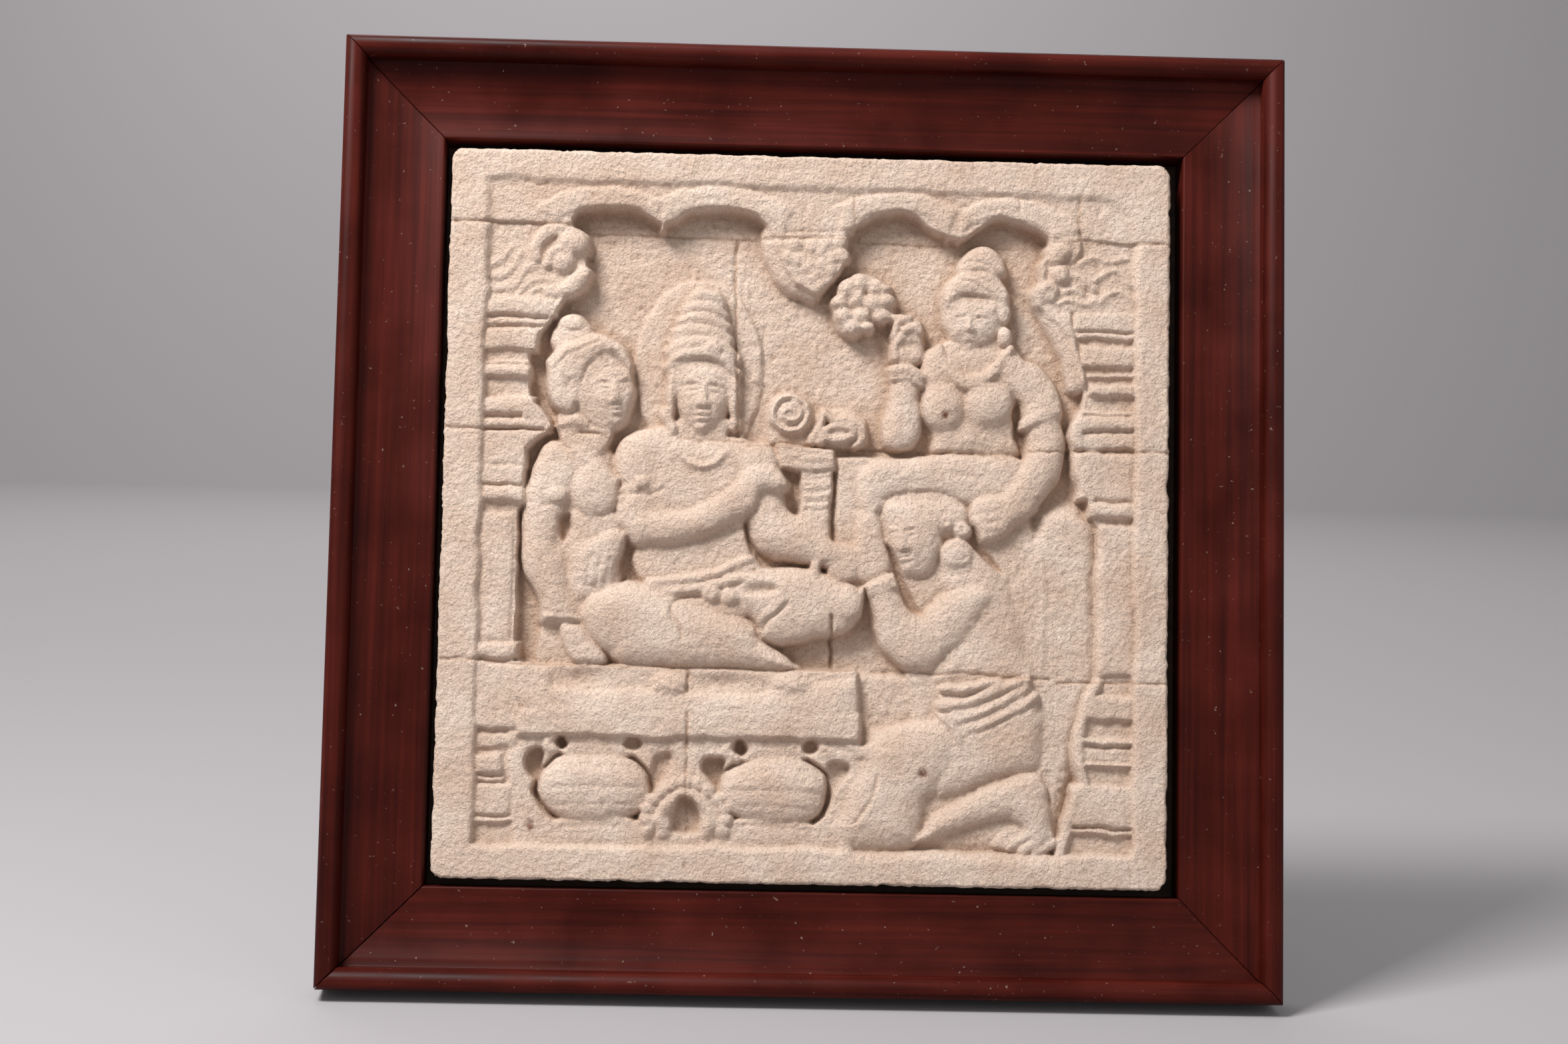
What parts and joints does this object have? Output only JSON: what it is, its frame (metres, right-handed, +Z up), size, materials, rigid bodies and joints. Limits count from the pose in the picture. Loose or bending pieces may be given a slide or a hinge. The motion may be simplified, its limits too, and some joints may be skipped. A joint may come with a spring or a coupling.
{
  "type": "framed stone relief panel",
  "caption": "Square cast stone relief plaque of a temple court scene, set on a dark backing board in a mitred, moulded hardwood frame; hangs flat on a wall.",
  "frame": {"origin": "middle of the flat back of the backing board, which lies flush with the backs of the rails, on the wall plane", "axes": "+Z up, +X to the viewer's right as the relief is looked at, +Y out of the back into the wall, so the relief faces -Y"},
  "size_m": [0.43, 0.034, 0.43],
  "materials": {
    "cast_stone": "unsealed, sandy",
    "frame_wood": "worn dark red varnish",
    "board_wood": "dark stain, matt"
  },
  "bodies": {
    "root": {"stone_relief": "cast_stone", "frame_rail_top": "frame_wood", "frame_rail_bottom": "frame_wood", "frame_rail_left": "frame_wood", "frame_rail_right": "frame_wood", "backing_board": "board_wood"}
  },
  "joints": []
}
